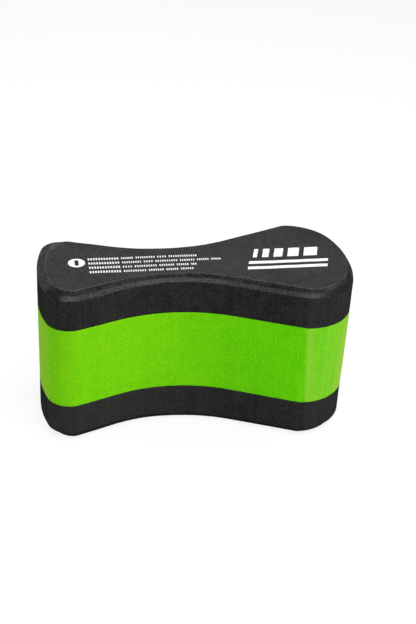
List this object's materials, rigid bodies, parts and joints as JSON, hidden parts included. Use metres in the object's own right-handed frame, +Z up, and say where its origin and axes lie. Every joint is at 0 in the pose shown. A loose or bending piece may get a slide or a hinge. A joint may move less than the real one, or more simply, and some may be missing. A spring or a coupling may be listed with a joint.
{
  "type": "pull buoy",
  "caption": "Hourglass pull buoy of black and green EVA foam slabs, held between a swimmer's thighs to float the legs during arm training.",
  "frame": {"origin": "centre of the underside, midway along and across the float", "axes": "+X from the narrow tail to the wide head, +Y across the float, +Z up from the underside to the printed upper panel"},
  "size_m": [0.22, 0.1, 0.1201],
  "materials": {
    "black_foam": "matte",
    "green_foam": "matte",
    "contact_glue": "satin",
    "white_ink": "matte"
  },
  "bodies": {
    "root": {"lower_slab": "black_foam", "lower_glue_film": "contact_glue", "core_slab": "green_foam", "upper_glue_film": "contact_glue", "upper_slab": "black_foam", "printed_roundel": "white_ink", "printed_rules": "white_ink", "printed_emblem": "white_ink"}
  },
  "joints": []
}
